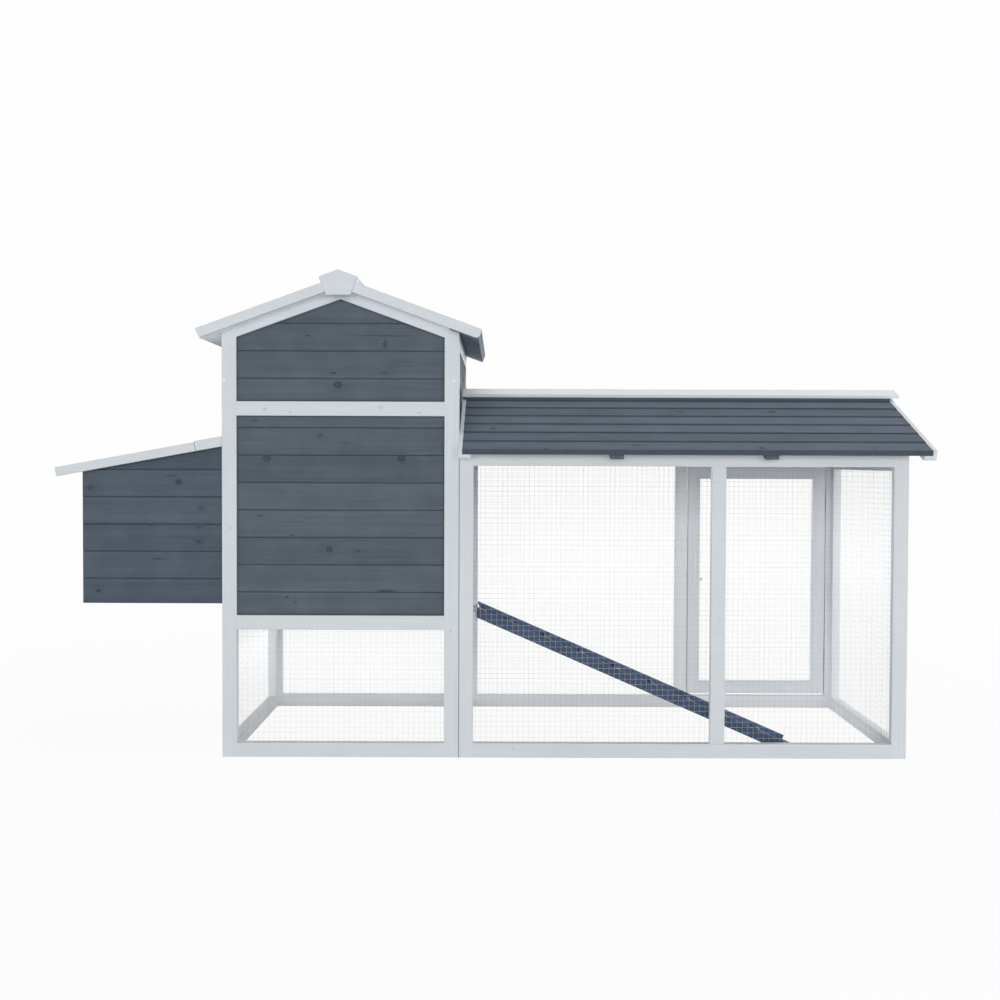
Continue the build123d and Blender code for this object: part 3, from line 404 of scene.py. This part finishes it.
def wires(start, length, along, count, step):
    """A row of straight wires from a first one's middle."""
    turn = {"X": (0, radians(90), 0), "Y": (radians(90), 0, 0), "Z": (0, 0, 0)}[along]
    size = {"vertices": wire_sides, "radius": wire_radius, "depth": length}
    nip = {"thickness": 0.4 * wire_radius, "depth": 0.5 * wire_radius}
    bpy.ops.object.select_all(action="DESELECT")
    bpy.ops.mesh.primitive_cylinder_add(location=start, rotation=turn, **size)
    wire = bpy.context.object
    pick(wire, lambda polygon: len(polygon.vertices) == wire_sides)
    bpy.ops.mesh.inset(**nip)
    bpy.ops.object.mode_set(mode="OBJECT")
    bpy.ops.object.transform_apply(location=True, rotation=True, scale=True)
    repeat(count, step)
    bpy.ops.object.shade_smooth_by_angle(angle=radians(70))
    return wire


wire_zinc = galvanised("galvanised_wire", "#c4c8cc", "#d9dcdf", 6)


def welded_net(node, body, way):
    """A net on the inner face of a frame; way is the side of that face it lies on."""
    loose_ends = 0.001  # at least this much wire, at both ends together, reaches past the outer wires
    weld_sink = 0.00004
    low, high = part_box(node)
    wide, deep, tall = high - low
    flat, along = (1, 0) if deep < wide else (0, 1)
    span = high[along] - low[along]
    across, up = int((span - loose_ends) / mesh_pitch), int((tall - loose_ends) / mesh_pitch)
    face = low[flat] if way > 0 else high[flat]
    start, step = list((low + high) / 2), [0, 0, 0]
    start[flat] = face + way * wire_radius
    start[along] -= across * mesh_pitch / 2
    step[along] = mesh_pitch
    uprights = wires(start, tall, "Z", across + 1, step)
    start = list((low + high) / 2)
    start[flat] = face + way * (3 * wire_radius - weld_sink)
    start[2] -= up * mesh_pitch / 2
    lying = wires(start, span, "XY"[along], up + 1, (0, 0, mesh_pitch))
    net = one_mesh([uprights, lying], node + "_wires")
    net.data.materials.append(wire_zinc)
    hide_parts(node)
    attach(net, body)


welded_net("house_front_mesh", "coop", 1)
welded_net("house_rear_mesh", "coop", -1)
welded_net("house_left_mesh", "coop", 1)


# House floor, perch and cleats: planed fir left bare inside, pale yellow with brown lines of the grain.
# The floor is one panel on two bearers, and the perch rests on a cleat at each end. The nest box's floor is
# of the same fir.
def bare_fir(name, lying):
    """Planed fir without paint: yearly rings cut lengthwise, with a few knots."""
    knot_spacing = 170  # mm
    material, tree, shader, place = new_finish(name)
    grain = put(tree, "Mapping", {"Vector": place, "Scale": BOARD_GRAIN[lying]}).outputs[0]
    knot = nearest_knot(tree, place, (), knot_spacing)
    halo = put(tree, "MapRange", {0: knot, 1: 0.5, 2: 3.5, 3: 1.0, 4: 0.0}, **SMOOTH).outputs[0]
    bent = put(tree, "VectorMath", {0: halo, 1: (0.0, 2.0, 2.0)}, operation="MULTIPLY").outputs[0]
    grain = put(tree, "VectorMath", {0: grain, 1: bent}, operation="ADD").outputs[0]
    growth = {"Vector": grain, "Scale": 0.45, "Detail": 3.0, "Distortion": 0.6}
    rings = put(tree, "TexNoise", growth).outputs[0]
    lines = put(tree, "TexNoise", {"Vector": grain, "Scale": 2.2, "Detail": 3.0}).outputs[0]
    wood = put(tree, "MapRange", {0: rings, 1: 0.3, 2: 0.7}).outputs[0]
    wood = put(tree, "Mix", {0: wood, 6: paint("#eadfcc"), 7: paint("#d3bf9f")}, data_type="RGBA").outputs[2]
    fine = put(tree, "MapRange", {0: lines, 1: 0.4, 2: 0.75, 3: 0.0, 4: 0.35}).outputs[0]
    wood = put(tree, "Mix", {0: fine, 6: wood, 7: paint("#c0a27c")}, data_type="RGBA").outputs[2]
    core = put(tree, "MapRange", {0: knot, 1: 0.5, 2: 1.4, 3: 0.85, 4: 0.0}).outputs[0]
    wood = put(tree, "Mix", {0: core, 6: wood, 7: paint("#6d4526")}, data_type="RGBA").outputs[2]
    relief = put(tree, "Bump", {"Height": lines, "Strength": 0.25, "Distance": 0.0004}).outputs[0]
    sheen = put(tree, "MapRange", {0: lines, 3: 0.55, 4: 0.75}).outputs[0]
    fill(tree, shader, {"Base Color": wood, "Roughness": sheen, "Normal": relief})
    return material


dress(bare_fir("bare_fir_along", "X"), "house_floor", "perch")
dress(bare_fir("bare_fir_across", "Y"), "perch_cleats", "nest_box_floor")


# House roof: grey boards along the ridge on battens, with white barge boards over the gables, a white cap of
# two boards on the ridge and a white five-sided plate over each end of it. The batten under the right eave is
# grey like the boards, a shade lighter, and the white ones are lighter than the frames: painted light for the
# shade under the eaves.
house_middle = house_posts[1]
roof_courses = (0, house_middle, 0.0606)
grey_ridge = board_paint("grey_paint_house_roof", "Y", roof_courses, dark="#525c66", light="#7e8994")
dress(grey_ridge, "house_roof_boards_left", "house_roof_boards_right")
# Painted a shade lighter than the boards, as painted light for the shade under the right eave.
grey_eave_lightened = board_paint("grey_paint_eave", "Y", roof_courses, dark="#5b6570", light="#8b96a1")
dress(grey_eave_lightened, "house_eave_batten_right")
white_ridge = white_paint("white_paint_ridge", "Y")
dress(white_ridge, "house_ridge_cap")
# Painted lighter than the frames, as painted light for the shade under the eaves.
white_eaves_lightened = white_paint("white_paint_eaves", "Y", dull="#f0f4f8", bright="#f8fafc")
dress(white_eaves_lightened, "house_roof_battens_left", "house_roof_battens_right")
white_along = white_paint("white_paint_along", "X")
dress(white_along, "house_barge_boards", "house_ridge_plates")


# Nest box: grey boards all round in the same V joints as the house, under a fixed strip by the wall and a lid
# with white trim. The lid's boards lie along its hinge.
nest_knots = [
    (-747, 648, 6.5, 1.2), (-956, 634, 6.5, 1.2), (-696, 584, 3.0, 1.5), (-700, 541, 4.0, 1.3),
    (-700, 507, 4.0, 1.3), (-938, 389, 4.0, 1.4), (-814, 546, 2.2, 3.0), (-797, 466, 1.8, 6.0),
    (-766, 663, 1.8, 6.0),
]
nest_courses = (2, 0.419, board_cover)
lid_courses = (0, -0.707, 0.0618)
nest_paint = board_paint("grey_paint_nest", "X", nest_courses, nest_knots, dark="#3f4953", light="#6a7581")
dress(nest_paint, "nest_box_walls")
dress(board_paint("grey_paint_lid", "Y", lid_courses), "nest_lid_boards")
dress(white_ridge, "nest_roof_strip")
dress(white_along, "nest_lid_trim")


# House door on the far side: a frame of the same timbers round grey boards, hung on the post by the nest box
# with two hinges. It is painted like the house's rear, lighter than the front as painted light for its shade.
house_door_posts = standing("house_door_frame", 0)
dress(white_paint("white_paint_house_door", "X", house_door_posts, **rear_white_lightened), "house_door_frame")
dress(grey_along, "house_door_boards")


# Dropping tray: a black polypropylene pan with a fine moulded grain and dull scuffs, behind a white wooden
# front with a knob. It lies on the house floor and pulls out to the far side.
pebble_size, scuff_size = 1.6, 60  # mm
pan, tree, shader, place = new_finish("black_polypropylene")
pebble = put(tree, "TexVoronoi", {"Vector": place, "Scale": 1000 / pebble_size}).outputs["Distance"]
scuff = put(tree, "TexNoise", {"Vector": place, "Scale": 1000 / scuff_size, "Detail": 5.0}).outputs[0]
coat = put(tree, "Mix", {0: scuff, 6: paint("#2b2e31"), 7: paint("#3d4145")}, data_type="RGBA").outputs[2]
relief = put(tree, "Bump", {"Height": pebble, "Strength": 0.3, "Distance": 0.0003}).outputs[0]
rough = put(tree, "MapRange", {0: scuff, 3: 0.45, 4: 0.65}).outputs[0]
fill(tree, shader, {"Base Color": coat, "Roughness": rough, "Normal": relief, "IOR": 1.49})
dress(pan, "dropping_tray")
# The front has the house rear's coat, painted lighter as painted light for the shade on the far side.
dress(white_paint("white_paint_tray", "X", **rear_white_lightened), "tray_front")


# Pop door: a grey panel with a knob that slides in two white runners over the hole into the run.
# The ledger under the hole, which carries the ramp, has the runners' coat, the lighter one of the eaves,
# painted lighter as painted light for the shade they lie in.
dress(grey_across, "pop_door")
dress(white_eaves_lightened, "pop_door_runners", "ramp_ledger")


# Ramp: a board with two side rails and rungs under flat slate blue paint, hinged on the ledger at its head.
# The paint covers the grain. The tread is painted a little paler than the near rail and the board's edge
# below
# it: painted light for the shade that the near rail and the roof cast on it.
ramp_rise = 23.53  # degrees
cloud_size, edge_radius = 90, 1.2  # mm
near_rail_face, blur = -0.295, 0.0005  # where the darker side ends, in y
slate, tree, shader, place = new_finish("slate_blue_paint")
tilt = {"Vector": place, "Rotation": (0, radians(-ramp_rise), 0), "Scale": (5, 160, 160)}
grain = put(tree, "Mapping", tilt).outputs[0]  # lines 6 mm apart that run 200 mm
lines = put(tree, "TexNoise", {"Vector": grain, "Scale": 1.0, "Detail": 3.0}).outputs[0]
cloud = put(tree, "TexNoise", {"Vector": place, "Scale": 1000 / cloud_size, "Detail": 4.0}).outputs[0]
shade = put(tree, "Math", {0: lines, 1: cloud}, operation="MULTIPLY").outputs[0]
shade = put(tree, "MapRange", {0: shade, 1: 0.12, 2: 0.4}).outputs[0]
side = put(tree, "Mix", {0: shade, 6: paint("#435369"), 7: paint("#4d5d74")}, data_type="RGBA").outputs[2]
# Painted light: the tread's coat is lighter to make up for the shade on it.
lightened_tread = put(tree, "Mix", {0: shade, 6: paint("#5b7190"), 7: paint("#69809f")}, data_type="RGBA").outputs[2]
depth = put(tree, "SeparateXYZ", {0: place}).outputs["Y"]
tread_range = {0: depth, 1: near_rail_face - blur, 2: near_rail_face + blur}
within = put(tree, "MapRange", tread_range).outputs[0]
coat = put(tree, "Mix", {0: within, 6: side, 7: lightened_tread}, data_type="RGBA").outputs[2]
eased, corner = eased_edges(tree, edge_radius)
worn = put(tree, "Math", {0: corner, 1: 0.08}, operation="MULTIPLY").outputs[0]
coat = put(tree, "Mix", {0: worn, 6: coat, 7: paint("#667891")}, data_type="RGBA").outputs[2]
relief = {"Height": lines, "Normal": eased, "Strength": 0.2, "Distance": 0.0004}
relief = put(tree, "Bump", relief).outputs[0]
fill(tree, shader, {"Base Color": coat, "Normal": relief, "Roughness": 0.7, "Specular IOR Level": 0.1})
dress(slate, "ramp_board", "ramp_rails")


# Run frames: posts and rails of the same timbers as the house's, screwed to its posts, with grey boards in
# the end's gable. A painted shadow darkens the front joint with the house, and the rear and end frames, which
# stand in shade, are painted the lightest, as painted light for that shade.
house_joint = -84.5  # x in mm
run_posts = standing("run_front_frame", 0)
# Painted lighter than the front frame, as painted light for the shade the rear and end frames stand in.
run_white_lightened = {"dull": "#f2f5f8", "bright": "#fbfcfd"}
gable_courses = (2, 0.705, board_cover)
dress(white_paint("white_paint_run", "X", run_posts, joint=house_joint), "run_front_frame")
dress(white_paint("white_paint_run_rear", "X", run_posts, **run_white_lightened), "run_rear_frame")
dress(white_paint("white_paint_run_end", "Y", side_stiles, **run_white_lightened), "run_end_frame")
dress(board_paint("grey_paint_run_gable", "Y", gable_courses), "run_gable_boards")


# Run nets: the same welded mesh as under the house, stapled inside the frames of the front, of the far side's
# left bay and of the end.
welded_net("run_front_mesh", "coop", 1)
welded_net("run_rear_mesh", "coop", -1)
welded_net("run_end_mesh", "coop", -1)


# Run roof: seven courses of grey slats a side, on two grey battens and a white verge batten at each end, with
# a white cap of two boards on the ridge. Grime lies on the top of each slat, under the edge of the next one.
slat_knots = [
    (-4, 777, 1.6, 4.0), (118, 728, 1.8, 3.0), (239, 829, 1.2, 9.0), (460, 825, 2.0, 4.5),
    (477, 789, 1.5, 3.0), (619, 732, 2.4, 3.0), (693, 825, 2.4, 4.5), (527, 788, 1.2, 5.0),
    (879, 731, 1.2, 3.0), (330, 737, 1.6, 6.0),
]
slat_courses = (1, 0.395, -0.06)  # from the eave inwards
slat_grey = {"dark": "#4e5863", "light": "#77828d"}
batten_courses = (0, 0.0, 0.4)
slat_paint = board_paint("grey_paint_slats", "X", slat_courses, slat_knots, laps=0.935, **slat_grey)
dress(slat_paint, "run_roof_front_slats", "run_roof_rear_slats")
dress(board_paint("grey_paint_battens", "Y", batten_courses), "run_roof_battens")
dress(white_paint("white_paint_verges", "Y", dull="#dce1e5", bright="#e8ecef"), "run_verge_battens")
# The cap is painted lighter than the frames, as painted light standing in for more light from above.
dress(white_paint("white_paint_run_cap", "X", dull="#eaeff3", bright="#f5f8fa"), "run_ridge_cap")


# Run door: a frame of the same white timbers filled with the same mesh, in the far side's right bay, hung on
# the end post with two hinges.
run_door_posts = standing("run_door_frame", 0)
# Painted lighter than the front frame, as painted light for the shade on the far side.
door_white_lightened = {"dull": "#e9edf2", "bright": "#f2f5f8"}
dress(white_paint("white_paint_run_door", "X", run_door_posts, **door_white_lightened), "run_door_frame")
welded_net("run_door_mesh", "run_door", -1)


# Hinges and bolts: stamped steel, zinc plated and bright with a slight spangle, screwed to the timbers.
# Of the plates on the timbers, the one on the ramp's ledger is painted over with it.
zinc_plating = ("#a3a7ab", "#d0d3d5", 4)
nearer_than, lower_than = -0.1, 0.5  # in y and z, which only the ledger's plate is
zinc = galvanised("zinc_plate", *zinc_plating)
dress(zinc, "nest_lid_hinge_leaves", "house_door_hinge_leaves", "run_door_hinge_leaves", "ramp_hinge_leaves")
dress(zinc, "house_door_bolt_plate", "house_door_bolt", "run_door_bolt_plate", "run_door_bolt")
dress(zinc, "bolt_keepers")
part_painted = galvanised("zinc_plate_part_painted", *zinc_plating)
tree = part_painted.node_tree
shader = tree.nodes["Principled BSDF"]
place = put(tree, "SeparateXYZ", {0: put(tree, "TexCoord", {}).outputs["Object"]}).outputs
near = put(tree, "Math", {0: place["Y"], 1: nearer_than}, operation="LESS_THAN").outputs[0]
low = put(tree, "Math", {0: place["Z"], 1: lower_than}, operation="LESS_THAN").outputs[0]
over = put(tree, "Math", {0: near, 1: low}, operation="MULTIPLY").outputs[0]
bare = shader.inputs["Base Color"].links[0].from_socket
coat = put(tree, "Mix", {0: over, 6: bare, 7: paint("#e2e6ea")}, data_type="RGBA").outputs[2]
metal = put(tree, "Math", {0: 1.0, 1: over}, operation="SUBTRACT").outputs[0]
fill(tree, shader, {"Base Color": coat, "Metallic": metal})
dress(part_painted, "hinge_plates")


# Screws: zinc plated wood screws with a driven recess, in the house posts and through the hinges and bolt
# plates. One head is turned and copied to each place, and each group rides on what it holds.
head_sides, head_radius, head_height, head_bevel = 16, 0.0029, 0.0009, 0.0004
recess_rim, recess_depth = 0.0011, 0.0006
head = {"vertices": head_sides, "radius": head_radius, "depth": head_height}
bpy.ops.object.select_all(action="DESELECT")
bpy.ops.mesh.primitive_cylinder_add(location=(0, 0, head_height / 2), **head)
screw_head = bpy.context.object
pick(screw_head, lambda polygon: polygon.normal.z > 0.9)
bpy.ops.mesh.bevel(offset=head_bevel, segments=2, affect="EDGES")
bpy.ops.object.mode_set(mode="OBJECT")
pick(screw_head, lambda polygon: polygon.normal.z > 0.9 and len(polygon.vertices) == head_sides)
bpy.ops.mesh.inset(thickness=recess_rim)
bpy.ops.mesh.extrude_region_move(TRANSFORM_OT_translate={"value": (0, 0, -recess_depth)})
bpy.ops.object.mode_set(mode="OBJECT")
bpy.ops.object.shade_smooth_by_angle(angle=radians(35))
screw_head.data.materials.append(zinc)


def screws(name, body, places):
    """Copies of the screw head at places, each with its turn about x and y in degrees."""
    copies = []
    for x, y, z, about_x, about_y in places:
        bpy.ops.object.select_all(action="DESELECT")
        screw_head.select_set(True)
        bpy.context.view_layer.objects.active = screw_head
        bpy.ops.object.duplicate(linked=False)
        copy = bpy.context.object
        copy.rotation_euler = (radians(about_x), radians(about_y), 0)
        copy.location = (x, y, z)
        bpy.ops.object.transform_apply(location=True, rotation=True, scale=True)
        copies.append(copy)
    heads = one_mesh(copies, name)
    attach(heads, body)


leaf_holes, bolt_holes = (-0.015, 0.015), (-0.011, 0.011)


def leaf_screws(axis, middle, rise, out, up):
    """Places in a lying hinge's leaf, which rises by degrees: out along it from the axis, and up off it."""
    turn = radians(rise)
    x = axis[0] + out * cos(turn) - up * sin(turn)
    z = axis[2] + out * sin(turn) + up * cos(turn)
    return [(x, middle + side, z, 0, -rise) for side in leaf_holes]


hinges = {joint["child"]: joint["pos_m"] for joint in frame["joints"] if joint["type"] == "hinge"}
near_face, far_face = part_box("house_front_frame")[0].y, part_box("house_rear_frame")[1].y
near_turn, far_turn = 90, -90  # about x, so that a head looks to that side
post_screws, post_screw_height = (-0.635, -0.096), 0.886
coop_places = []
for x in post_screws:
    coop_places.append((x, near_face, post_screw_height, near_turn, 0))
    coop_places.append((x, far_face, post_screw_height, far_turn, 0))

lid_axis, lid_rise = hinges["nest_lid"], 10.4
lid_hinge_middles, lid_leaf_out = (-0.1725, 0.1725), 0.022
strip_leaf_up, lid_leaf_up = 0.0004, -0.002
lid_places = []
for middle in lid_hinge_middles:
    coop_places += leaf_screws(lid_axis, middle, lid_rise, lid_leaf_out, strip_leaf_up)
    lid_places += leaf_screws(lid_axis, middle, lid_rise, -lid_leaf_out, lid_leaf_up)

ramp_axis, ramp_leaf_out, ramp_leaf_up = hinges["ramp"], 0.015, -0.002
coop_places += leaf_screws(ramp_axis, ramp_axis[1], 0, -ramp_leaf_out, ramp_leaf_up)
ramp_places = leaf_screws(ramp_axis, ramp_axis[1], -ramp_rise, ramp_leaf_out, ramp_leaf_up)

plate_face = far_face + 0.002
door_leaf_out, keeper_out = 0.017, 0.027  # from a hinge's axis, and from a bolt plate's middle
door_places = {"house_door": [], "run_door": []}
for door, way, spread in (("house_door", 1, 0.1215), ("run_door", -1, 0.22)):
    x, _, z = hinges[door]
    post_leaf, door_leaf = x - way * door_leaf_out, x + way * door_leaf_out
    low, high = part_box(door + "_bolt_plate")
    plate = (low.x + high.x) / 2
    keeper = plate + way * keeper_out
    for post_x, door_x, middle, holes in (
        (post_leaf, door_leaf, z - spread, leaf_holes),
        (post_leaf, door_leaf, z + spread, leaf_holes),
        (keeper, plate, z, bolt_holes),
    ):
        for side in holes:
            coop_places.append((post_x, plate_face, middle + side, far_turn, 0))
            door_places[door].append((door_x, plate_face, middle + side, far_turn, 0))

screws("coop_screws", "coop", coop_places)
screws("nest_lid_screws", "nest_lid", lid_places)
screws("house_door_screws", "house_door", door_places["house_door"])
screws("run_door_screws", "run_door", door_places["run_door"])
screws("ramp_screws", "ramp", ramp_places)
bpy.data.objects.remove(screw_head)
